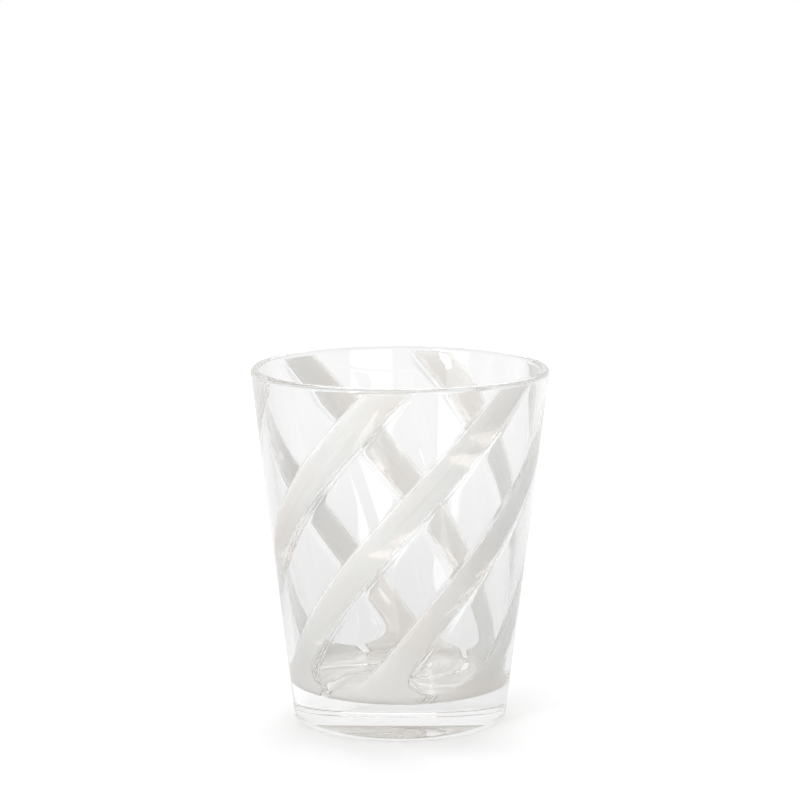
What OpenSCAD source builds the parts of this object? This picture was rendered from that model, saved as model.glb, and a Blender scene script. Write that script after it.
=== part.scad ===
// A flared glass tumbler with six white bands cased between two clear layers.
// Millimetres, +Z up, origin on the standing plane at the centre of the foot.
// Azimuth is measured from the front (-Y) and grows towards +X.

/* [Tumbler] */
// Diameter over the lip
rim_d = 88; // [84:1:96]
// Height from the standing plane to the top of the lip
height = 105; // [95:1:120]
// Diameter at the foot, where the straight side meets the standing plane
foot_d = 63; // [58:1:68]
// Thickness of the whole wall, which is also the thickness of the round lip
wall_t = 2.7; // [2.4:0.1:3.4]
// Thickness of the clear inner layer, with its floor
liner_t = 1.2; // [1:0.1:1.5]

/* [Base] */
// Height of the floor inside the glass
floor_z = 12; // [9:0.5:16]
// Radius of the bend between the bands' floor and wall
bend_r = 3.2; // [2.4:0.1:5]
// Radius of the rounded outer edge of the foot
foot_edge_r = 0.5; // [0.3:0.1:1.5]
// Diameter of the dome pressed up under the base
dome_d = 44; // [38:1:52]
// Height of that dome above the standing plane
dome_h = 1.7; // [1:0.1:3]

/* [Bands] */
// Height that a band climbs in one full turn
band_lead = 274; // [240:2:310]
// Thickness of a band at its thickest
band_t = 0.5; // [0.3:0.05:0.7]
// Width of a band on the wall, as an angle round the glass
band_w_deg = 18.5; // [14:0.5:22]
// Clear gap between two arms at the edge of the floor, as an angle
arm_gap_deg = 5.4; // [5:0.2:9]
// Height above the floor at which a band starts to flare
flare_h = 11; // [8:1:30]
// Share of the flare that the arms keep in the middle of the floor
floor_fill_share = 0.6; // [0.3:0.05:1]
// Distance down from where the round lip starts to the top ends of the bands
band_lip_gap = 0.3; // [0.2:0.1:5]
// Angle that each band's arm swings through on its way over the floor
floor_swirl_deg = 80; // [40:5:110]
// Radius at which the arms end, round the middle of the floor
hub_r = 2.5; // [2:0.5:5]

/* [Ribs] */
// Height of the spiral ribs inside the glass, at the crest
rib_h = 0.8; // [0.4:0.05:1.2]
// Reach of a rib beyond its band's upper edge, as an angle
rib_above_deg = 1.4; // [1:0.1:1.6]
// Reach of a rib beyond its band's lower edge, as an angle
rib_below_deg = 3; // [2:0.1:3.2]
// Distance over which the ribs fade out below the lip
rib_lip_fade = 5; // [3:0.5:10]
// Radius within which the ribs fade out towards the middle of the floor
rib_hub_fade = 10; // [5:0.5:20]

/* [Hidden] */

$fn = 180;

// Middle of each band at half the height of the glass, set by hand and so not quite even
BAND_AZ = [-72, -17, 38, 99, 161, 221];

clear_colour = [0.86, 0.91, 0.92, 0.45];
white_colour = [0.93, 0.93, 0.90];

// One overrun for every cut, and the rings that stand along the floor, bend, wall and lip
cut_over = foot_edge_r;
FLOOR_RINGS = 7;
BEND_RINGS = 4;
WALL_RINGS = 24;
// Places of the lip's rings, as shares of the way up its round inner side
LIP_RING_SHARES = [0.5, 0.8, 0.95];

// Straight outer side: its lean from the vertical follows from the lip circle and the foot
lip_r = wall_t / 2;
lip_x = rim_d / 2 - lip_r;
lip_z = height - lip_r;
foot_r = foot_d / 2;
side_dx = lip_x - foot_r;
side_lean = atan2(side_dx, lip_z) + asin(lip_r / norm([side_dx, lip_z]));
out_dir = [cos(side_lean), -sin(side_lean)];
up_dir = [sin(side_lean), cos(side_lean)];

// Rounded outer edge of the foot
foot_edge_x = foot_r + foot_edge_r * tan(side_lean) - foot_edge_r / cos(side_lean);

// Sphere that presses the dome
dome_r = dome_d / 2;
dome_ball_r = (dome_r * dome_r + dome_h * dome_h) / (2 * dome_h);

// The seat is the inside face of the outer casing, which carries the bands and the liner
casing_t = wall_t - liner_t;
seat_z = floor_z - liner_t;
seat_foot_x = foot_r - casing_t / cos(side_lean);
bend_z = seat_z + bend_r;
bend_x = seat_foot_x + bend_z * tan(side_lean) - bend_r / cos(side_lean);
wall_start = [bend_x, bend_z] + bend_r * out_dir;
lip_on_seat = [lip_x, lip_z] + (lip_r - casing_t) * out_dir;
wall_len = norm(lip_on_seat - wall_start);
band_end_len = wall_len - band_lip_gap / cos(side_lean);
// Height of the lip's round inner side, from its middle to where it meets the seat
lip_rise = sqrt(lip_r * lip_r - (casing_t - lip_r) * (casing_t - lip_r));

// Across a band: shares of its width, and of its thickness there. Both edges are feathered
BAND_ACROSS_SHARES = [0, 0.14, 0.5, 0.86, 1];
BAND_DEPTH_SHARES = [0, 0.7, 0.9, 1, 0];
// Rows across a rib: share of the band's width, share of the rib's reach beyond the band (below 0
// where that is over the upper edge), and share of the rib's height. It falls in two steps
RIB_ROW_SHARES = [
  [0, -1, 0], [0.1, 0, 0.2], [0.5, 0, 0.58], [0.93, 0, 1], [1, 0.15, 0.5], [1, 0.75, 0.37], [1, 1, 0]
];
// Rows of the liner's back behind a rib: the band's own rows, and two beyond its lower edge
BACK_ROW_SHARES = [
  [0, 0, 0], [0.14, 0, 0.7], [0.5, 0, 0.9], [0.86, 0, 1], [1, 0, 0], [1, 0.5, 0], [1, 1, 0]
];
// Points across the clear window between two bands, as shares of the way
WINDOW_SHARES = [0.25, 0.5, 0.75];

BANDS = len(BAND_AZ);
ACROSS = len(BAND_ACROSS_SHARES);
LINER_ROWS = len(RIB_ROW_SHARES);
LAST_RING = FLOOR_RINGS + BEND_RINGS + WALL_RINGS;
// Thickness of a band's two blunt ends, as a share of its thickness
END_THICKNESS_SHARE = 0.25;

// Azimuth at a height on the wall, for a band whose middle is at azimuth 0 at half height
function climb(z) = (z - height / 2) * 360 / band_lead;

// The bend takes the turn that its arc length would take on the wall, and the floor starts from there
bend_sweep = 90 - side_lean;
bend_az = climb(wall_start[1]);
floor_az = bend_az - bend_r * bend_sweep * PI / 180 * 360 / band_lead;

// Each ring is [point on the seat, direction into the glass, azimuth, share of the flare]
function floor_ring(share) =
  let (x = hub_r + (bend_x - hub_r) * share, out_share = x / bend_x)
  [[x, seat_z], [0, 1], floor_az - floor_swirl_deg * (1 - share),
   floor_fill_share + (1 - floor_fill_share) * out_share * out_share];
function bend_ring(share) =
  let (a = bend_sweep * share)
  [[bend_x + bend_r * sin(a), bend_z - bend_r * cos(a)], [-sin(a), cos(a)],
   floor_az + (bend_az - floor_az) * share, 1];
function wall_ring(len_up) =
  let (p = wall_start + len_up * up_dir, near_floor = max(0, 1 - (p[1] - wall_start[1]) / flare_h))
  [p, -out_dir, climb(p[1]), pow(near_floor, 4)];

RINGS = [
  for (i = [0 : FLOOR_RINGS - 1]) floor_ring(i / FLOOR_RINGS),
  for (i = [0 : BEND_RINGS - 1]) bend_ring(i / BEND_RINGS),
  for (i = [0 : WALL_RINGS]) wall_ring(band_end_len * i / WALL_RINGS)
];
LIP_RINGS = [
  wall_ring(wall_len),
  for (share = LIP_RING_SHARES) wall_ring(wall_len + share * lip_rise)
];

// A point at an azimuth, at a depth off the seat into the glass
function off_seat(ring, azimuth, depth) =
  let (p = ring[0] + depth * ring[1])
  [p[0] * sin(azimuth), -p[0] * cos(azimuth), p[1]];

// Middle of band k, also past the last band, and half of what lies between it and the next
function middle_az(k) = BAND_AZ[(k + BANDS) % BANDS] + 360 * floor(k / BANDS);
function half_way(k) = (middle_az(k + 1) - middle_az(k)) / 2;

// Half of a band's width after its middle. A flared band takes all that its neighbours leave it
function half_after(ring, k) = band_w_deg / 2 + ring[3] * (half_way(k) - arm_gap_deg / 2 - band_w_deg / 2);

// Where a share of a band's width lies on a ring, and a share of its rib's reach beyond the edges
function band_az(ring, k, share, beyond_share = 0) =
  middle_az(k) + ring[2]
  + (2 * share - 1) * half_after(ring, share > 0.5 ? k : k - 1)
  + beyond_share * (beyond_share > 0 ? rib_below_deg : rib_above_deg);

function end_share(i) = (i == 0 || i == LAST_RING) ? END_THICKNESS_SHARE : 1;
function rib_share(ring) =
  max(0, min(1, (lip_z - ring[0][1]) / rib_lip_fade)) * min(1, ring[0][0] / rib_hub_fade);

// Loop of points round a ring, one band and its window after another. Rows give the places across
// a band, and their last share the part of high that is added to thick
function liner_loop(ring, rows, thick, high) = [
  for (k = [0 : BANDS - 1]) each [
    for (row = rows) off_seat(ring, band_az(ring, k, row[0], row[1]), thick + high * row[2]),
    for (w = WINDOW_SHARES)
      off_seat(ring,
        band_az(ring, k, 1, 1) * (1 - w) + band_az(ring, k + 1, 0, rows[0][1]) * w, thick)
  ]
];

// How far the lip's round inner side stands off the seat, at a share of its rise
function lip_depth(share) = sqrt(lip_r * lip_r - lip_rise * lip_rise * share * share) - (casing_t - lip_r);

// Triangles between two neighbouring loops of n points that start at a and b
function skirt(a, b, n) = [
  for (j = [0 : n - 1]) let (next = (j + 1) % n) each [
    [a + j, b + j, b + next],
    [a + j, b + next, a + next]
  ]
];
function fan(centre, start, n) = [for (j = [0 : n - 1]) [centre, start + j, start + (j + 1) % n]];
function flipped(faces) = [for (f = faces) [f[2], f[1], f[0]]];

// Outline of half of the casing, as revolved: the outer side with its lip and foot edge
module outer_outline() {
  polygon([
    [0, 0],
    [foot_edge_x, 0],
    [foot_edge_x, foot_edge_r],
    [foot_edge_x, foot_edge_r] + foot_edge_r * out_dir,
    [lip_x, lip_z] + lip_r * out_dir,
    [lip_x, lip_z],
    [lip_x, lip_z] - lip_r * out_dir,
    [0, lip_z]
  ]);
  intersection() {
    translate([foot_edge_x, foot_edge_r]) circle(r = foot_edge_r);
    translate([foot_edge_x, 0]) square(2 * foot_edge_r);
  }
  translate([lip_x, lip_z]) circle(r = lip_r);
}

// Everything inside the seat: the bands, the liner and the drink
module seat_outline() {
  top = lip_on_seat + 2 * lip_r * up_dir;
  polygon([
    [0, seat_z],
    [bend_x, seat_z],
    [bend_x, bend_z],
    wall_start,
    top,
    [0, top[1]]
  ]);
  intersection() {
    translate([bend_x, bend_z]) circle(r = bend_r);
    translate([bend_x, seat_z]) square(2 * bend_r);
  }
}

module outer_casing() {
  color(clear_colour)
    rotate_extrude()
      difference() {
        outer_outline();
        seat_outline();
        translate([0, dome_h - dome_ball_r]) circle(r = dome_ball_r);
        translate([-2 * rim_d, -cut_over]) square([2 * rim_d, height + 2 * cut_over]);
      }
}

// The liner: a back that follows the seat and the bands, and a ribbed face towards the drink
module inner_liner() {
  n = BANDS * (LINER_ROWS + len(WINDOW_SHARES));
  lips = len(LIP_RINGS);
  rings = LAST_RING + 1 + lips;
  back = [
    for (i = [0 : LAST_RING]) each liner_loop(RINGS[i], BACK_ROW_SHARES, 0, band_t * end_share(i)),
    for (ring = LIP_RINGS) each liner_loop(ring, BACK_ROW_SHARES, 0, 0)
  ];
  face = [
    for (ring = RINGS) each liner_loop(ring, RIB_ROW_SHARES, liner_t, rib_h * rib_share(ring)),
    each liner_loop(LIP_RINGS[0], RIB_ROW_SHARES, liner_t, 0),
    for (i = [1 : lips - 1])
      each liner_loop(LIP_RINGS[i], RIB_ROW_SHARES, lip_depth(LIP_RING_SHARES[i - 1]), 0)
  ];
  back_count = n * rings;
  top = n * (rings - 1);
  points = concat(back, face, [[0, 0, seat_z], [0, 0, floor_z]]);
  faces = concat(
    [for (i = [0 : rings - 2]) each skirt(i * n, (i + 1) * n, n)],
    flipped([for (i = [0 : rings - 2]) each skirt(back_count + i * n, back_count + (i + 1) * n, n)]),
    skirt(top, back_count + top, n),
    fan(2 * back_count, 0, n),
    flipped(fan(2 * back_count + 1, back_count, n))
  );
  color(clear_colour) polyhedron(points = points, faces = faces, convexity = 6);
}

// One white band: its back on the seat and its face under the liner, closed at both ends
module swirl_band(k) {
  n = 2 * ACROSS - 2;
  points = [
    for (i = [0 : LAST_RING]) each [
      for (j = [0 : ACROSS - 1]) off_seat(RINGS[i], band_az(RINGS[i], k, BAND_ACROSS_SHARES[j]), 0),
      for (j = [ACROSS - 2 : -1 : 1])
        off_seat(RINGS[i], band_az(RINGS[i], k, BAND_ACROSS_SHARES[j]),
          band_t * end_share(i) * BAND_DEPTH_SHARES[j])
    ]
  ];
  end = n * LAST_RING;
  faces = concat(
    [for (i = [0 : LAST_RING - 1]) each skirt(i * n, (i + 1) * n, n)],
    [[for (j = [0 : n - 1]) j]],
    [[for (j = [n - 1 : -1 : 0]) end + j]]
  );
  color(white_colour) polyhedron(points = points, faces = faces, convexity = 4);
}

outer_casing();
inner_liner();
swirl_band(0);  // swirl_band_1
swirl_band(1);  // swirl_band_2
swirl_band(2);  // swirl_band_3
swirl_band(3);  // swirl_band_4
swirl_band(4);  // swirl_band_5
swirl_band(5);  // swirl_band_6
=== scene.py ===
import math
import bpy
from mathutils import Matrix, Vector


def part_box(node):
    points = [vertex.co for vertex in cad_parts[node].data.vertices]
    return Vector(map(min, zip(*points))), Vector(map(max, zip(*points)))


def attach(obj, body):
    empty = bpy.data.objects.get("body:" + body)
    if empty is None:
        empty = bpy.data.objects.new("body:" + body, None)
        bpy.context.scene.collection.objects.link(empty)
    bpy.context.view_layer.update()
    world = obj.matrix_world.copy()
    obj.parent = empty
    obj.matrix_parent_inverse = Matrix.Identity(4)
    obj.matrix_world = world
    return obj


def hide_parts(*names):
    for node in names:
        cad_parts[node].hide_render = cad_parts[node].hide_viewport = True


bl_info = {
    "name": "Swirl Band Tumbler",
    "version": (1, 0, 0),
    "blender": (4, 5, 0),
    "location": "View3D > Sidebar > Tumbler",
    "description": "Models a clear tumbler whose wall and floor hold white spiral bands",
    "category": "Add Mesh",
}

import bmesh
import bpy
from bpy.props import FloatProperty, FloatVectorProperty, PointerProperty
from mathutils import Vector

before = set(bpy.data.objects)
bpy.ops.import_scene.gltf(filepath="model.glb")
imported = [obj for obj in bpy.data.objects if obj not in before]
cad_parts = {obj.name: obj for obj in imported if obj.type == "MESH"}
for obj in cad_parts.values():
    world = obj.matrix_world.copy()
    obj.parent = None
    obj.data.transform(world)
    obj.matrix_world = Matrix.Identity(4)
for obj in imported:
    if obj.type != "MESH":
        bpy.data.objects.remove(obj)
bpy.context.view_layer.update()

CASING_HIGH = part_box("outer_casing")[1]
LINER_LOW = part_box("inner_liner")[0]
BAND_NODES = [f"swirl_band_{number}" for number in range(1, 7)]

# Middle of each band at half the height of the glass, in degrees from the front towards +X
BAND_AZIMUTHS = (-72.0, -17.0, 38.0, 99.0, 161.0, 221.0)

MERGE_DISTANCE = 1e-7

# Steps round the casing and along the stretches of its section
SECTION_STEPS = 288
DOME_STEPS, FOOT_STEPS, SIDE_STEPS, LIP_STEPS, SEAT_STEPS = 24, 8, 30, 16, 60
# Rings of the liner: up its back, over its half of the lip and down its ribbed face
BACK_RINGS, LIP_RINGS, FACE_RINGS = 96, 10, 140
# Squares across a band and along it
BAND_ACROSS_STEPS, BAND_ALONG_STEPS = 36, 280

# Band: share of its width that each feathered edge takes, its thickness at its upper edge and at
# its two ends as shares of the whole
BAND_EDGE_SHARE = 0.14
BAND_UPPER_SHARE = 0.7
BAND_END_SHARE = 0.25

# Columns of the liner from the middle of one band to the middle of the next, as the stretch that
# each lies on, its share of that stretch, and the share of the rib's height there
BAND_RIGHT, STEP_RIGHT, WINDOW, STEP_LEFT, BAND_LEFT = range(5)
RIB_AT_MIDDLE = 0.58
WINDOW_STEPS = 14
COLUMNS = (
    [(BAND_RIGHT, share, rib) for share, rib in (
        (0.0, RIB_AT_MIDDLE), (0.15, 0.65), (0.3, 0.72), (0.45, 0.79), (0.6, 0.86), (0.72, 0.92),
        (0.82, 0.97), (0.89, 1.0), (0.94, 0.985), (0.98, 0.93), (1.0, 0.86),
    )]
    + [(STEP_RIGHT, share, rib) for share, rib in (
        (0.05, 0.72), (0.1, 0.58), (0.15, 0.5), (0.22, 0.455), (0.4, 0.43), (0.6, 0.41),
        (0.7, 0.39), (0.78, 0.34), (0.86, 0.22), (0.93, 0.09), (1.0, 0.02),
    )]
    + [(WINDOW, step / WINDOW_STEPS, 0.0) for step in range(1, WINDOW_STEPS)]
    + [(STEP_LEFT, share, rib) for share, rib in ((0.0, 0.0), (0.35, 0.01), (0.7, 0.04))]
    + [(BAND_LEFT, share, rib) for share, rib in (
        (0.0, 0.08), (0.05, 0.1), (0.12, 0.14), (0.25, 0.21), (0.4, 0.29), (0.55, 0.36),
        (0.7, 0.43), (0.85, 0.5),
    )]
)
LINER_STEPS = len(BAND_AZIMUTHS) * len(COLUMNS)

# Thin feathers in the white glass, which also paint glints: there the white glass turns see-through
# and a lighter, warmer white that is a painted highlight. Band, where the tip lies (run in
# millimetres and share of the band's width), where the open end lies, and half the width there in
# millimetres
FEATHERS_AND_GLINTS = (
    (0, (121.0, 0.62), (111.0, 0.86), 1.3),
    (0, (70.0, 0.5), (73.5, 1.04), 1.9),
    (1, (110.9, 0.2), (109.8, 1.06), 2.5),
    (1, (105.4, 0.12), (103.2, 1.06), 2.3),
    (1, (79.8, 0.5), (83.0, 1.04), 2.0),
    (1, (76.2, 0.25), (77.6, 1.0), 1.9),
    (1, (46.0, 0.55), (50.0, 1.04), 1.7),
    (2, (67.5, 0.66), (72.5, 1.04), 1.8),
    (2, (61.5, 0.56), (67.0, 1.04), 1.9),
    (2, (56.5, 0.5), (60.5, 0.82), 1.4),
    (2, (104.0, 0.3), (105.0, 1.04), 2.0),
    (3, (111.5, 0.9), (102.5, 0.84), 1.5),
    (3, (66.0, 0.35), (69.0, 1.04), 2.1),
    (4, (97.0, 0.68), (88.5, 0.92), 1.3),
    (4, (66.5, 0.88), (57.5, 0.74), 1.3),
    (5, (52.5, 0.45), (46.5, 0.5), 1.2),
    (5, (95.0, 0.4), (98.5, 1.04), 2.2),
    (5, (104.0, 0.3), (106.0, 1.04), 2.0),
)
# Metres over which a feather fades on its crisp and on its soft side, and how far past its open
# end it runs, as a share of its length
FEATHER_CRISP, FEATHER_SOFT = 0.0005, 0.0018
FEATHER_OVERRUN = 0.3

# Soft lamps: name, place, what it faces, width, height and power
LAMPS = (
    ("key_left", (-0.6, -0.8, 0.65), (0, 0, 0.05), 0.14, 0.7, 2.9),
    ("window_left", (-0.82, -0.74, 0.24), (0, 0, 0.09), 0.5, 0.46, 1.5),
    ("back_high", (0.1, 0.85, 0.8), (0, 0, 0.05), 0.8, 0.5, 4.1),
    ("window_right", (0.46, -1.0, 0.24), (0, 0, 0.09), 0.72, 0.46, 2.2),
)


class TumblerSizes(bpy.types.PropertyGroup):
    """Sizes of the glass itself, in the frame's own places."""

    rim_radius: FloatProperty(
        name="Rim radius", description="Radius over the lip",
        default=CASING_HIGH.x, subtype="DISTANCE", unit="LENGTH",
    )
    height: FloatProperty(
        name="Height", description="From the standing plane to the top of the lip",
        default=CASING_HIGH.z, subtype="DISTANCE", unit="LENGTH",
    )
    foot_radius: FloatProperty(
        name="Foot radius", description="Where the straight side would meet the standing plane",
        default=0.0315, subtype="DISTANCE", unit="LENGTH",
    )
    wall: FloatProperty(
        name="Wall", description="Thickness of the whole wall and of the round lip",
        default=0.0027, subtype="DISTANCE", unit="LENGTH",
    )
    liner: FloatProperty(
        name="Liner", description="Thickness of the clear inner layer between its ribs",
        default=0.0012, subtype="DISTANCE", unit="LENGTH",
    )
    bend_radius: FloatProperty(
        name="Bend radius", description="Bend between the floor and the wall that carry the bands",
        default=0.0032, subtype="DISTANCE", unit="LENGTH",
    )
    foot_edge: FloatProperty(
        name="Foot edge", description="Radius of the rounded outer edge of the foot",
        default=0.0005, subtype="DISTANCE", unit="LENGTH",
    )
    dome_radius: FloatProperty(
        name="Dome radius", description="Radius of the dome pressed up under the base",
        default=0.022, subtype="DISTANCE", unit="LENGTH",
    )
    dome_height: FloatProperty(
        name="Dome height", description="Height of that dome above the standing plane",
        default=0.0017, subtype="DISTANCE", unit="LENGTH",
    )


class BandSizes(bpy.types.PropertyGroup):
    """Sizes of the white bands and of the clear ribs over them."""

    lead: FloatProperty(
        name="Lead", description="Height that a band climbs in one full turn",
        default=0.274, subtype="DISTANCE", unit="LENGTH",
    )
    thickness: FloatProperty(
        name="Thickness", description="Thickness of a band at its thickest",
        default=0.0005, subtype="DISTANCE", unit="LENGTH",
    )
    width: FloatProperty(
        name="Width", description="Width of a band, in degrees round the glass", default=18.5,
    )
    arm_gap: FloatProperty(
        name="Arm gap",
        description="Clear gap between two arms at the edge of the floor, in degrees",
        default=5.4,
    )
    floor_fill: FloatProperty(
        name="Floor fill",
        description="How far the arms stay opened out in the middle of the floor",
        subtype="FACTOR", default=0.6,
    )
    rib_reach_above: FloatProperty(
        name="Rib reach above", description="Reach of a rib past its band's upper edge, in degrees",
        default=1.4,
    )
    rib_reach_below: FloatProperty(
        name="Rib reach below", description="Reach of a rib past its band's lower edge, in degrees",
        default=3.0,
    )
    flare_height: FloatProperty(
        name="Flare height", description="Height above the floor at which a band starts to flare",
        default=0.011, subtype="DISTANCE", unit="LENGTH",
    )
    lip_gap: FloatProperty(
        name="Lip gap", description="From where the round lip starts down to the bands",
        default=0.0003, subtype="DISTANCE", unit="LENGTH",
    )
    floor_swirl: FloatProperty(
        name="Floor swirl",
        description="Degrees that each arm swings through over the floor", default=80.0,
    )
    hub_radius: FloatProperty(
        name="Hub radius", description="Where the arms end, round the middle of the floor",
        default=0.0025, subtype="DISTANCE", unit="LENGTH",
    )
    rib: FloatProperty(
        name="Rib", description="Height of the clear rib over each band",
        default=0.0008, subtype="DISTANCE", unit="LENGTH",
    )
    rib_lip_fade: FloatProperty(
        name="Rib fade at the lip",
        description="Distance over which the ribs fade out below the lip",
        default=0.005, subtype="DISTANCE", unit="LENGTH",
    )
    rib_hub_fade: FloatProperty(
        name="Rib fade at the hub",
        description="Radius within which the ribs fade out on the floor",
        default=0.01, subtype="DISTANCE", unit="LENGTH",
    )


class GlassLook(bpy.types.PropertyGroup):
    """Colours and finish of the clear and the white glass."""

    ior: FloatProperty(name="IOR", description="Refraction of the clear glass", default=1.5)
    clear_tint: FloatVectorProperty(
        name="Clear tint", description="Colour of the clear glass", subtype="COLOR",
        size=3, default=(0.992, 0.992, 0.992),
    )
    white_colour: FloatVectorProperty(
        name="White glass", description="Colour of the white bands", subtype="COLOR",
        size=3, default=(0.875, 0.875, 0.865),
    )
    cream_colour: FloatVectorProperty(
        name="Cream", description="Colour of the white bands in their warmer clouds",
        subtype="COLOR", size=3, default=(0.87, 0.85, 0.825),
    )
    # Lighter white streaks in the arms on the floor: partly streaky white glass, partly painted
    # light and painted caustic highlights
    floor_highlight_colour: FloatVectorProperty(
        name="Floor streaks", description="Colour of the streaks in the white arms on the floor",
        subtype="COLOR", size=3, default=(0.97, 0.965, 0.95),
    )
    # Lighter, warmer white of the thin feathers: it paints glints into the bands, a painted
    # highlight
    thin_glint_colour: FloatVectorProperty(
        name="Thin white", description="Colour of the thin feathers in the bands",
        subtype="COLOR", size=3, default=(0.96, 0.93, 0.9),
    )


class StageLook(bpy.types.PropertyGroup):
    """Floor, light and camera."""

    floor_size: FloatProperty(
        name="Floor size", description="Side of the pale floor", default=3.0,
        subtype="DISTANCE", unit="LENGTH",
    )
    floor_gap: FloatProperty(
        name="Floor gap", description="Air that keeps the floor apart from the foot of the glass",
        default=0.00015, subtype="DISTANCE", unit="LENGTH",
    )
    camera_back: FloatProperty(
        name="Camera back", description="Distance of the camera in front of the glass's axis",
        default=0.8382, subtype="DISTANCE", unit="LENGTH",
    )
    camera_up: FloatProperty(
        name="Camera up", description="Height of the camera over the floor",
        default=0.23225, subtype="DISTANCE", unit="LENGTH",
    )
    camera_down: FloatProperty(
        name="Camera tilt", description="How far the camera looks down",
        default=math.radians(9.306), subtype="ANGLE", unit="ROTATION",
    )
    camera_lens: FloatProperty(
        name="Lens", description="Focal length, in millimetres on a 36 mm sensor", default=129.79,
    )


def smoothstep(x):
    """0 below 0, 1 above 1 and a smooth S between."""
    x = min(1.0, max(0.0, x))
    return x * x * (3.0 - 2.0 * x)


class GlassForm:
    """The half section that all the pieces share, and how the bands and ribs lie on it.

    The seat is the face between the outer casing and what it carries. A place on it is a run: the
    distance from the axis out over the floor, round the bend and up the wall.
    """

    def __init__(self, sizes, bands):
        self.sizes = sizes
        self.bands = bands
        self.lip_r = sizes.wall / 2
        self.lip = Vector((sizes.rim_radius - self.lip_r, sizes.height - self.lip_r))
        side = Vector((self.lip.x - sizes.foot_radius, self.lip.y))
        self.lean = math.atan2(side.x, side.y) + math.asin(self.lip_r / side.length)
        self.outward = Vector((math.cos(self.lean), -math.sin(self.lean)))
        self.upward = Vector((math.sin(self.lean), math.cos(self.lean)))
        self.casing = sizes.wall - sizes.liner
        self.seat_z = LINER_LOW.z
        bend_z = self.seat_z + sizes.bend_radius
        bend_x = (
            sizes.foot_radius
            + bend_z * math.tan(self.lean)
            - (self.casing + sizes.bend_radius) / math.cos(self.lean)
        )
        self.bend = Vector((bend_x, bend_z))
        self.wall_foot = self.bend + sizes.bend_radius * self.outward
        self.lip_seat = self.lip + (self.lip_r - self.casing) * self.outward
        self.bend_sweep = math.pi / 2 - self.lean
        self.bend_run = bend_x
        self.wall_run = bend_x + sizes.bend_radius * self.bend_sweep
        self.lip_run = self.wall_run + (self.lip_seat - self.wall_foot).length
        self.lip_rise = math.sqrt(self.lip_r**2 - (self.casing - self.lip_r) ** 2)
        self.band_top_run = self.lip_run - bands.lip_gap / math.cos(self.lean)

    def seat(self, run):
        """Point of the seat and the direction into the glass, as [radius, height]."""
        if run < self.bend_run:
            return Vector((run, self.seat_z)), Vector((0.0, 1.0))
        if run < self.wall_run:
            angle = (run - self.bend_run) / self.sizes.bend_radius
            inward = Vector((-math.sin(angle), math.cos(angle)))
            return self.bend - self.sizes.bend_radius * inward, inward
        return self.wall_foot + (run - self.wall_run) * self.upward, -self.outward

    def climb(self, z):
        """Turn of a band's middle at a height on the wall."""
        return (z - self.sizes.height / 2) * math.tau / self.bands.lead

    def turn(self, run):
        """Turn of a band's middle at any place on the seat."""
        if run >= self.wall_run:
            return self.climb(self.seat(run)[0].y)
        wall_turn = self.climb(self.wall_foot.y)
        floor_turn = wall_turn - (self.wall_run - self.bend_run) * math.tau / self.bands.lead
        if run >= self.bend_run:
            share = (run - self.bend_run) / (self.wall_run - self.bend_run)
            return floor_turn + (wall_turn - floor_turn) * share
        hub = self.bands.hub_radius
        share = (run - hub) / (self.bend_run - hub)
        return floor_turn - math.radians(self.bands.floor_swirl) * (1.0 - share)

    def opened(self, run):
        """How far the bands have opened out: 0 up the wall and 1 at the edge of the floor."""
        if run < self.bend_run:
            fill = self.bands.floor_fill
            return fill + (1.0 - fill) * (run / self.bend_run) ** 2
        if run < self.wall_run:
            return 1.0
        rise = self.seat(run)[0].y - self.wall_foot.y
        return max(0.0, 1.0 - rise / self.bands.flare_height) ** 4

    def halves(self, run):
        """Angles that each band covers before and after its middle."""
        opened = self.opened(run)
        narrow = math.radians(self.bands.width) / 2
        after = [
            (following - middle) % 360.0
            for middle, following in zip(BAND_AZIMUTHS, BAND_AZIMUTHS[1:] + BAND_AZIMUTHS[:1])
        ]
        wide = [math.radians(spacing - self.bands.arm_gap) / 2 for spacing in after]
        return [
            (narrow + (wide[band - 1] - narrow) * opened, narrow + (wide[band] - narrow) * opened)
            for band in range(len(BAND_AZIMUTHS))
        ]

    def band_depth(self, run, across):
        """Thickness of a band at a share of its width, with both edges feathered."""
        ends = smoothstep((run - self.bands.hub_radius) / self.bands.hub_radius)
        ends *= smoothstep((self.band_top_run - run) / self.bands.hub_radius)
        edges = smoothstep(across / BAND_EDGE_SHARE) * smoothstep((1.0 - across) / BAND_EDGE_SHARE)
        edges *= BAND_UPPER_SHARE + (1.0 - BAND_UPPER_SHARE) * across
        return self.bands.thickness * edges * (BAND_END_SHARE + (1.0 - BAND_END_SHARE) * ends)

    def thinness_and_glint(self, band, run, across, width):
        """How thin a band's white glass is at a place on it, 0 to 1, which also marks where a glint
        is painted as a lighter, warmer patch.
        """
        thin = 0.0
        place = Vector((run, across * width))
        for feathered, tip, end, half in FEATHERS_AND_GLINTS:
            if feathered != band:
                continue
            start = Vector((tip[0] / 1000, tip[1] * width))
            reach = Vector((end[0] / 1000, end[1] * width)) - start
            along = (place - start).dot(reach) / reach.length_squared
            if 0.0 < along < 1.0 + FEATHER_OVERRUN:
                aside = reach.cross(place - start) / reach.length
                spread = half / 1000 * math.sin(math.pi / 2 * min(1.0, along)) ** 0.7
                spread *= smoothstep((1.0 + FEATHER_OVERRUN - along) / FEATHER_OVERRUN)
                crisp = smoothstep((spread - aside) / FEATHER_CRISP + 0.5)
                thin = max(thin, crisp * smoothstep((spread + aside) / FEATHER_SOFT + 0.2))
        return thin

    def rib_fade(self, run):
        """Share of their full height that the ribs have at a place on the seat."""
        point = self.seat(run)[0]
        fade = min(1.0, max(0.0, (self.lip.y - point.y) / self.bands.rib_lip_fade))
        return smoothstep(fade) * smoothstep(point.x / self.bands.rib_hub_fade)

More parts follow.
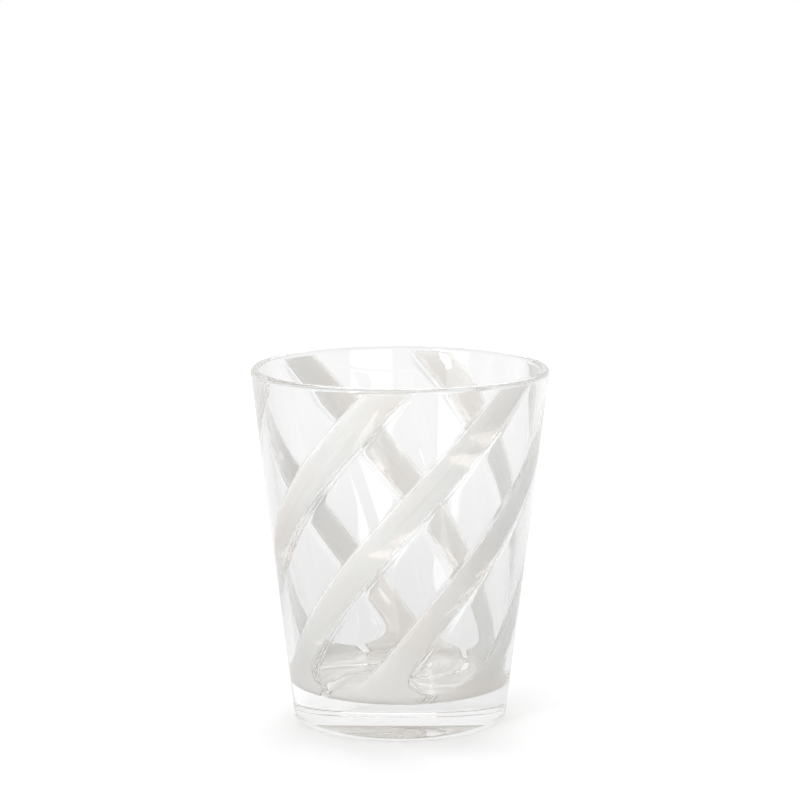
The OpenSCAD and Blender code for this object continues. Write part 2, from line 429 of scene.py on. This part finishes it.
    def on_glass(self, run, azimuth, depth):
        """Place in space of a point at a depth off the seat."""
        point, inward = self.seat(run)
        place = point + depth * inward
        return Vector((place.x * math.sin(azimuth), -place.x * math.cos(azimuth), place.y))


def arc(centre, radius, start, end, steps):
    """Points along an arc in the half section, with angles from the outward direction."""
    return [
        centre + radius * Vector((math.cos(a), math.sin(a)))
        for a in (start + (end - start) * step / steps for step in range(steps + 1))
    ]


def line(start, end, steps):
    """Points along a straight stretch, without its two ends."""
    return [start.lerp(end, step / steps) for step in range(1, steps)]


def spin_section(bm, steps):
    """Spins the section that bm holds once round the glass's axis."""
    bmesh.ops.spin(
        bm,
        geom=list(bm.verts) + list(bm.edges),
        cent=(0.0, 0.0, 0.0),
        axis=(0.0, 0.0, 1.0),
        angle=math.tau,
        steps=steps,
        use_merge=True,
    )
    bmesh.ops.remove_doubles(bm, verts=bm.verts, dist=MERGE_DISTANCE)
    bmesh.ops.recalc_face_normals(bm, faces=bm.faces)


def finish_piece(bm, name, node, materials):
    """Makes the bmesh a smooth piece that rides on the glass and stands for its CAD node."""
    for face in bm.faces:
        face.smooth = True
    mesh = bpy.data.meshes.new(name)
    bm.to_mesh(mesh)
    bm.free()
    for material in materials:
        mesh.materials.append(material)
    piece = bpy.data.objects.new(name, mesh)
    bpy.context.scene.collection.objects.link(piece)
    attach(piece, "root")
    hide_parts(node)
    return piece


class Sock:
    """A shader socket that takes part in sums, so that node maths reads as an expression."""

    def __init__(self, tree, socket):
        self.tree = tree
        self.socket = socket

    def _math(self, operation, a, b):
        return self.tree.node("ShaderNodeMath", {"operation": operation}, {0: a, 1: b})

    def __add__(self, other):
        return self._math("ADD", self, other)

    __radd__ = __add__

    def __sub__(self, other):
        return self._math("SUBTRACT", self, other)

    def __rsub__(self, other):
        return self._math("SUBTRACT", other, self)

    def __mul__(self, other):
        return self._math("MULTIPLY", self, other)

    __rmul__ = __mul__


class Shader:
    """Builds one material's or the world's nodes."""

    def __init__(self, owner):
        owner.use_nodes = True
        self.nodes = owner.node_tree.nodes
        self.links = owner.node_tree.links
        self.nodes.clear()

    def node(self, kind, settings=None, inputs=None, out=0):
        """Adds a node, with its settings first and then the values or links of its sockets."""
        made = self.nodes.new(kind)
        for name, value in (settings or {}).items():
            setattr(made, name, value)
        for name, value in (inputs or {}).items():
            if isinstance(value, Sock):
                self.links.new(value.socket, made.inputs[name])
            else:
                made.inputs[name].default_value = value
        return Sock(self, made.outputs[out]) if len(made.outputs) else None

    def ramp(self, value, low, high):
        """0 below one value of a socket, 1 above another and a smooth S between."""
        return self.node(
            "ShaderNodeMapRange",
            {"interpolation_type": "SMOOTHSTEP"},
            {"Value": value, "From Min": low, "From Max": high},
        )

    def mix(self, share, first, second):
        """Mixes two colours, given as sockets or as settings."""
        first, second = (
            colour if isinstance(colour, Sock) else (*colour, 1.0) for colour in (first, second)
        )
        return self.node(
            "ShaderNodeMix", {"data_type": "RGBA"}, {0: share, 6: first, 7: second}, out=2
        )

    def streaks(self, flow, along, across, detail, distortion):
        """Noise drawn out over a UV map, with so many streaks a metre and across a band."""
        drawn = self.node(
            "ShaderNodeMapping", {}, {"Vector": flow, "Scale": (along, across, 1.0)}
        )
        return self.node(
            "ShaderNodeTexNoise", {},
            {"Vector": drawn, "Scale": 1.0, "Detail": detail, "Distortion": distortion},
        )


def clear_glass(look):
    """Smooth clear glass with the faint ripple of a blown wall."""
    material = bpy.data.materials.new("smooth_clear_glass")
    tree = Shader(material)
    place = tree.node("ShaderNodeTexCoord", out="Object")
    ripple = tree.node("ShaderNodeTexNoise", {}, {"Vector": place, "Scale": 60.0, "Detail": 1.0})
    bump = tree.node(
        "ShaderNodeBump", {}, {"Height": ripple, "Strength": 0.1, "Distance": 0.0002}
    )
    glass = tree.node(
        "ShaderNodeBsdfPrincipled",
        {},
        {
            "Base Color": (*look.clear_tint, 1.0),
            "Roughness": 0.0,
            "IOR": look.ior,
            "Transmission Weight": 1.0,
            "Normal": bump,
        },
    )
    lamp_ray = tree.node("ShaderNodeLightPath", out="Is Shadow Ray")
    lets_through = tree.node("ShaderNodeBsdfTransparent", {}, {"Color": (0.97, 0.97, 0.97, 1.0)})
    both = tree.node("ShaderNodeMixShader", {}, {0: lamp_ray, 1: glass, 2: lets_through})
    tree.node("ShaderNodeOutputMaterial", {}, {"Surface": both})
    return material


def seam():
    """The fused face between two layers of glass, which light passes unbent."""
    material = bpy.data.materials.new("fused_seam")
    tree = Shader(material)
    through = tree.node("ShaderNodeBsdfTransparent")
    tree.node("ShaderNodeOutputMaterial", {}, {"Surface": through})
    return material


def white_glass(look):
    """White glass in streaks: cool where dense, and warm and see-through in its thin feathers,
    whose lighter colour is a painted highlight (glint).

    Its UV map gives the run in metres and the share across the band. Edges soften only up the
    wall, and the arms on the floor are streaked cream and a lighter white, partly painted light and
    painted caustic highlights.
    """
    material = bpy.data.materials.new("opal_white_glass")
    tree = Shader(material)
    along = tree.node("ShaderNodeUVMap", {"uv_map": "along_and_across"})
    across = tree.node("ShaderNodeSeparateXYZ", {}, {0: along}, out="Y")
    run = tree.node("ShaderNodeSeparateXYZ", {}, {0: along}, out="X")
    place = tree.node("ShaderNodeTexCoord", out="Object")
    streak = tree.streaks(along, 22.0, 3.0, 1.5, 0.3)
    warp = tree.node("ShaderNodeTexNoise", {}, {"Vector": place, "Scale": 260.0, "Detail": 2.0})
    feather = tree.node("ShaderNodeAttribute", {"attribute_name": "thin"}, out="Fac")
    cloud = tree.node("ShaderNodeTexNoise", {}, {"Vector": place, "Scale": 45.0, "Detail": 1.0})
    # Feather mask: there the white glass turns see-through and takes the lighter thin colour, a
    # painted highlight (glint)
    feather_glint_mask = feather * tree.ramp(warp + feather * 0.4, 0.5, 0.85)
    up_wall = tree.ramp(run, 0.036, 0.05)
    edge = up_wall * tree.ramp(
        tree.node("ShaderNodeMath", {"operation": "ABSOLUTE"}, {0: across - 0.5}), 0.36, 0.5
    )
    # The arms on the floor are lighter than the bands on the wall, cream streaked with a lighter
    # white: partly streaky glass, partly painted light and painted caustic highlights
    floor_streak_and_glint = tree.streaks(along, 60.0, 6.0, 2.0, 0.4)
    on_floor = 1 - tree.ramp(run, 0.022, 0.031)
    floor_tone_and_highlight = tree.mix(
        tree.ramp(floor_streak_and_glint, 0.4, 0.56), look.cream_colour, look.floor_highlight_colour
    )
    warmth = tree.node(
        "ShaderNodeMapRange", {}, {"Value": cloud, "From Min": 0.4, "From Max": 0.75}
    )
    tone = tree.mix(warmth, look.white_colour, look.cream_colour)
    tone = tree.mix(feather_glint_mask, tone, look.thin_glint_colour)
    tone = tree.mix(on_floor, tone, floor_tone_and_highlight)
    cover = 1 - feather_glint_mask * 0.4 - tree.ramp(streak, 0.55, 0.75) * 0.12 - edge * 0.55
    white = tree.node(
        "ShaderNodeBsdfPrincipled",
        {},
        {"Base Color": tone, "Roughness": 0.6, "Specular IOR Level": 0.0},
    )
    glow = tree.node("ShaderNodeBsdfTranslucent", {}, {"Color": tone})
    milky = tree.node("ShaderNodeMixShader", {}, {0: 0.62, 1: white, 2: glow})
    clear = tree.node("ShaderNodeBsdfTransparent")
    surface = tree.node("ShaderNodeMixShader", {}, {0: cover, 1: clear, 2: milky})
    tree.node("ShaderNodeOutputMaterial", {}, {"Surface": surface})
    return material


def stock(name, make):
    """A finish that pieces share, made the first time that one asks for it."""
    return bpy.data.materials.get(name) or make()


class TUMBLER_OT_outer_casing(bpy.types.Operator):
    """Model the clear outer wall with its heavy base and the outer side of the lip"""

    bl_idname = "tumbler.outer_casing"
    bl_label = "Outer casing"

    def execute(self, context):
        scene = context.scene
        sizes, look = scene.tumbler_sizes, scene.tumbler_look
        form = GlassForm(sizes, scene.tumbler_bands)
        edge = sizes.foot_edge
        edge_x = sizes.foot_radius + edge * math.tan(form.lean) - edge / math.cos(form.lean)
        ball = (sizes.dome_radius**2 + sizes.dome_height**2) / (2 * sizes.dome_height)
        dome_sweep = math.asin(sizes.dome_radius / ball)
        ball_middle = Vector((0, sizes.dome_height - ball))
        dome = arc(ball_middle, ball, math.pi / 2, math.pi / 2 - dome_sweep, DOME_STEPS)
        foot = arc(Vector((edge_x, edge)), edge, -math.pi / 2, -form.lean, FOOT_STEPS)
        lip_end = math.pi / 2 - form.lean + math.asin((form.casing - form.lip_r) / form.lip_r)
        lip = arc(form.lip, form.lip_r, -form.lean, lip_end, LIP_STEPS)
        top = form.lip_run + form.lip_rise
        seat = [form.seat(top * (1 - step / SEAT_STEPS))[0] for step in range(SEAT_STEPS + 1)]
        outside = dome + foot + line(foot[-1], lip[0], SIDE_STEPS) + lip[:-1]
        bm = bmesh.new()
        on_seat = bm.verts.layers.int.new("on_seat")
        verts = []
        for point in outside + seat:
            vert = bm.verts.new((point.x, 0.0, point.y))
            vert[on_seat] = int(len(verts) >= len(outside))
            verts.append(vert)
        for pair in zip(verts, verts[1:]):
            bm.edges.new(pair)
        spin_section(bm, SECTION_STEPS)
        for face in bm.faces:
            face.material_index = int(all(vert[on_seat] for vert in face.verts))
        mark_sharp(bm)
        finish_piece(
            bm, "outer_casing_glass", "outer_casing",
            [stock("smooth_clear_glass", lambda: clear_glass(look)), stock("fused_seam", seam)],
        )
        return {"FINISHED"}


def mark_sharp(bm):
    """Keeps a crease where clear glass meets a fused seam."""
    for edge in bm.edges:
        if len({face.material_index for face in edge.link_faces}) > 1:
            edge.smooth = False


class TUMBLER_OT_inner_liner(bpy.types.Operator):
    """Model the clear inner cup: its back over the bands and its ribbed face"""

    bl_idname = "tumbler.inner_liner"
    bl_label = "Inner liner"

    def execute(self, context):
        scene = context.scene
        sizes, look = scene.tumbler_sizes, scene.tumbler_look
        form = GlassForm(sizes, scene.tumbler_bands)
        bm = bmesh.new()
        top = form.lip_run + form.lip_rise
        back = [(top * step / BACK_RINGS, 0.0, "back") for step in range(BACK_RINGS + 1)]
        lip = []
        for step in range(1, LIP_RINGS + 1):
            angle = math.pi / 2 * step / LIP_RINGS
            rise = form.lip_rise * math.cos(angle)
            depth = math.sqrt(form.lip_r**2 - rise**2) - (form.casing - form.lip_r)
            lip.append((form.lip_run + rise, depth, "lip"))
        face = [
            (form.lip_run * (1 - step / FACE_RINGS), sizes.liner, "face")
            for step in range(1, FACE_RINGS + 1)
        ]
        rings = back + lip + face
        ring_layer = bm.verts.layers.int.new("ring")
        for number, (run, depth, _) in enumerate(rings):
            point, inward = form.seat(run)
            place = point + depth * inward
            vert = bm.verts.new((place.x, 0.0, place.y))
            vert[ring_layer] = number
        bm.verts.ensure_lookup_table()
        for pair in zip(list(bm.verts), list(bm.verts)[1:]):
            bm.edges.new(pair)
        spin_section(bm, LINER_STEPS)
        for face in bm.faces:
            sides = {rings[vert[ring_layer]][2] for vert in face.verts}
            face.material_index = int(sides == {"back"})
        tables = [
            (form.turn(run), form.halves(run), form.rib_fade(run)) for run, _, _ in rings
        ]
        step_angle = math.tau / LINER_STEPS
        for vert in bm.verts:
            run, depth, side = rings[vert[ring_layer]]
            turn, halves, rib_fade = tables[vert[ring_layer]]
            column = round(math.atan2(vert.co.x, -vert.co.y) / step_angle) % LINER_STEPS
            azimuth, across, rib = self.column_place(form, column, halves)
            over_bands = form.bands.hub_radius <= run <= form.band_top_run
            if side == "back" and over_bands and across is not None:
                depth = form.band_depth(run, across)
            elif side == "face":
                depth += form.bands.rib * rib_fade * rib
            vert.co = form.on_glass(run, azimuth + turn, depth)
        mark_sharp(bm)
        finish_piece(
            bm, "inner_liner_glass", "inner_liner",
            [stock("smooth_clear_glass", lambda: clear_glass(look)), stock("fused_seam", seam)],
        )
        return {"FINISHED"}

    def column_place(self, form, column, halves):
        """Azimuth of a column at one ring, its share across any band, and its rib's share."""
        band, place = divmod(column, len(COLUMNS))
        following = (band + 1) % len(BAND_AZIMUTHS)
        stretch, share, rib = COLUMNS[place]
        middle = math.radians(BAND_AZIMUTHS[band])
        spacing = (BAND_AZIMUTHS[following] - BAND_AZIMUTHS[band]) % 360.0
        next_middle = middle + math.radians(spacing)
        right = middle + halves[band][1]
        left = next_middle - halves[following][0]
        below = math.radians(form.bands.rib_reach_below)
        above = math.radians(form.bands.rib_reach_above)
        if stretch == BAND_RIGHT:
            return middle + share * (right - middle), 0.5 + share / 2, rib
        if stretch == STEP_RIGHT:
            return right + share * below, None, rib
        if stretch == WINDOW:
            start, end = right + below, left - above
            return start + share * (end - start), None, rib
        if stretch == STEP_LEFT:
            return left - (1 - share) * above, None, rib
        return left + share * (next_middle - left), share / 2, rib


class TUMBLER_OT_swirl_bands(bpy.types.Operator):
    """Model the six white bands as flat strips rolled onto the seat"""

    bl_idname = "tumbler.swirl_bands"
    bl_label = "Swirl bands"

    def execute(self, context):
        scene = context.scene
        form = GlassForm(scene.tumbler_sizes, scene.tumbler_bands)
        white = stock("opal_white_glass", lambda: white_glass(scene.tumbler_look))
        for band in range(len(BAND_AZIMUTHS)):
            self.roll_band(form, band, white)
        return {"FINISHED"}

    def roll_band(self, form, band, white):
        """Rolls one strip onto the seat, with its length and width kept as its UV map."""
        bm = bmesh.new()
        bmesh.ops.create_grid(
            bm, x_segments=BAND_ACROSS_STEPS, y_segments=BAND_ALONG_STEPS, size=0.5
        )
        top = bmesh.ops.extrude_face_region(bm, geom=list(bm.faces), use_keep_orig=True)
        for item in top["geom"]:
            if isinstance(item, bmesh.types.BMVert):
                item.co.z = 1.0
        start = form.bands.hub_radius
        reach = form.band_top_run - start
        uv = bm.loops.layers.uv.new("along_and_across")
        thin = bm.verts.layers.float.new("thin")
        for face in bm.faces:
            for loop in face.loops:
                loop[uv].uv = (start + reach * (loop.vert.co.y + 0.5), loop.vert.co.x + 0.5)
        middle = math.radians(BAND_AZIMUTHS[band])
        for vert in bm.verts:
            across = vert.co.x + 0.5
            run = start + reach * (vert.co.y + 0.5)
            left, right = form.halves(run)[band]
            offset = (2 * across - 1) * (right if across > 0.5 else left)
            depth = vert.co.z * form.band_depth(run, across)
            # Thinness of the white glass, which also marks its painted glints
            vert[thin] = form.thinness_and_glint(band, run, across, (left + right) * form.seat(run)[0].x)
            vert.co = form.on_glass(run, middle + form.turn(run) + offset, depth)
        bmesh.ops.remove_doubles(bm, verts=bm.verts, dist=MERGE_DISTANCE)
        bmesh.ops.recalc_face_normals(bm, faces=bm.faces)
        node = BAND_NODES[band]
        finish_piece(bm, f"{node}_glass", node, [white])


def aim(obj, target):
    """Turns a lamp or camera so that it looks at a point."""
    obj.rotation_euler = (target - obj.location).to_track_quat("-Z", "Y").to_euler()


def softbox(name, place, target, width, height, power):
    """Adds a soft rectangular lamp."""
    lamp = bpy.data.lights.new(name, "AREA")
    lamp.shape = "RECTANGLE"
    lamp.size = width
    lamp.size_y = height
    lamp.energy = power
    lamp_object = bpy.data.objects.new(name, lamp)
    bpy.context.scene.collection.objects.link(lamp_object)
    lamp_object.location = place
    aim(lamp_object, Vector(target))


class TUMBLER_OT_stage(bpy.types.Operator):
    """Set the pale floor, the light and the camera"""

    bl_idname = "tumbler.stage"
    bl_label = "Stage"

    def execute(self, context):
        scene = context.scene
        stage = scene.tumbler_stage
        self.make_floor(stage)
        self.make_world(scene)
        for lamp in LAMPS:
            softbox(*lamp)
        camera = bpy.data.cameras.new("photo_camera")
        camera.lens = stage.camera_lens
        camera.clip_start = 0.01
        view = bpy.data.objects.new("photo_camera", camera)
        scene.collection.objects.link(view)
        view.location = (0.0, -stage.camera_back, stage.camera_up)
        view.rotation_euler = (math.pi / 2 - stage.camera_down, 0.0, 0.0)
        scene.camera = view
        scene.view_settings.view_transform = "Standard"
        scene.cycles.transparent_max_bounces = 256
        scene.cycles.transmission_bounces = 128
        scene.cycles.glossy_bounces = 128
        scene.cycles.diffuse_bounces = 8
        scene.cycles.max_bounces = 128
        return {"FINISHED"}

    def make_floor(self, stage):
        """Pale paper, white for the camera but for the shadow close to the glass.

        What the clear glass shows of it is painted: a painted pool of light right under the foot, a
        painted shadow behind it, and the paper a shade darker.
        """
        bm = bmesh.new()
        bmesh.ops.create_grid(bm, x_segments=1, y_segments=1, size=stage.floor_size / 2)
        mesh = bpy.data.meshes.new("floor")
        bm.to_mesh(mesh)
        bm.free()
        material = bpy.data.materials.new("pale_floor")
        tree = Shader(material)
        seen = tree.node("ShaderNodeLightPath", out="Is Camera Ray")
        through = tree.node("ShaderNodeLightPath", out="Is Transmission Ray")
        mirrored = tree.node("ShaderNodeLightPath", out="Is Glossy Ray")
        place = tree.node("ShaderNodeTexCoord", out="Object")
        back = tree.node("ShaderNodeSeparateXYZ", {}, {0: place}, out="Y")
        away = tree.node("ShaderNodeVectorMath", {"operation": "LENGTH"}, {0: place}, out="Value")
        # Seen through the glass only: a painted shadow on the paper behind the foot, a painted pool
        # of light under the foot (under, added as emission), and the paper painted a shade darker
        painted_shadow_behind = through * tree.ramp(back, 0.04, 0.1) * (1 - tree.ramp(back, 0.1, 0.42))
        under = through * (1 - tree.ramp(away, 0.026, 0.042))
        grey = 0.7 - through * 0.07 - painted_shadow_behind * 0.06
        white_out = 0.18 + tree.ramp(away, 0.25, 0.7) * 0.5
        tone = tree.node("ShaderNodeCombineColor", {}, {0: grey, 1: grey, 2: grey})
        paper = tree.node("ShaderNodeBsdfDiffuse", {}, {"Color": tone})
        lift = tree.node(
            "ShaderNodeEmission", {},
            {"Color": (1, 1, 1, 1), "Strength": seen * white_out + mirrored * 0.08 + under * 0.38},
        )
        both = tree.node("ShaderNodeAddShader", {}, {0: paper, 1: lift})
        tree.node("ShaderNodeOutputMaterial", {}, {"Surface": both})
        mesh.materials.append(material)
        floor = bpy.data.objects.new("floor", mesh)
        floor.location.z = -stage.floor_gap
        bpy.context.scene.collection.objects.link(floor)

    def make_world(self, scene):
        """White for the camera, and for the glass a room that is lightest behind and above."""
        world = bpy.data.worlds.new("studio")
        scene.world = world
        tree = Shader(world)
        seen = tree.node("ShaderNodeLightPath", out="Is Camera Ray")
        direction = tree.node("ShaderNodeTexCoord", out="Generated")
        back = tree.node("ShaderNodeSeparateXYZ", {}, {0: direction}, out="Y")
        up = tree.node("ShaderNodeSeparateXYZ", {}, {0: direction}, out="Z")
        room = 0.66 + tree.ramp(back, -0.7, 0.6) * 0.25 + tree.ramp(up, 0.35, 0.95) * 0.28
        strength = seen + (1 - seen) * room
        sky = tree.node("ShaderNodeBackground", {}, {"Color": (1, 1, 1, 1), "Strength": strength})
        tree.node("ShaderNodeOutputWorld", {}, {"Surface": sky})


class TUMBLER_PT_sidebar(bpy.types.Panel):
    """Sizes, finishes and steps of the tumbler"""

    bl_label = "Swirl band tumbler"
    bl_idname = "TUMBLER_PT_sidebar"
    bl_space_type = "VIEW_3D"
    bl_region_type = "UI"
    bl_category = "Tumbler"

    def draw(self, context):
        layout = self.layout
        for group in SETTINGS:
            settings = getattr(context.scene, group)
            box = layout.box()
            for name in settings.bl_rna.properties.keys():
                if name not in ("rna_type", "name"):
                    box.prop(settings, name)
        for step in STEPS:
            layout.operator(step.bl_idname)


SETTINGS = {
    "tumbler_sizes": TumblerSizes,
    "tumbler_bands": BandSizes,
    "tumbler_look": GlassLook,
    "tumbler_stage": StageLook,
}
STEPS = (
    TUMBLER_OT_outer_casing,
    TUMBLER_OT_inner_liner,
    TUMBLER_OT_swirl_bands,
    TUMBLER_OT_stage,
)
CLASSES = (*SETTINGS.values(), *STEPS, TUMBLER_PT_sidebar)


def register():
    for cls in CLASSES:
        bpy.utils.register_class(cls)
    for name, group in SETTINGS.items():
        setattr(bpy.types.Scene, name, PointerProperty(type=group))


def unregister():
    for name in SETTINGS:
        delattr(bpy.types.Scene, name)
    for cls in reversed(CLASSES):
        bpy.utils.unregister_class(cls)


def main():
    register()
    bpy.ops.tumbler.outer_casing()
    bpy.ops.tumbler.inner_liner()
    bpy.ops.tumbler.swirl_bands()
    bpy.ops.tumbler.stage()


if __name__ == "__main__":
    main()
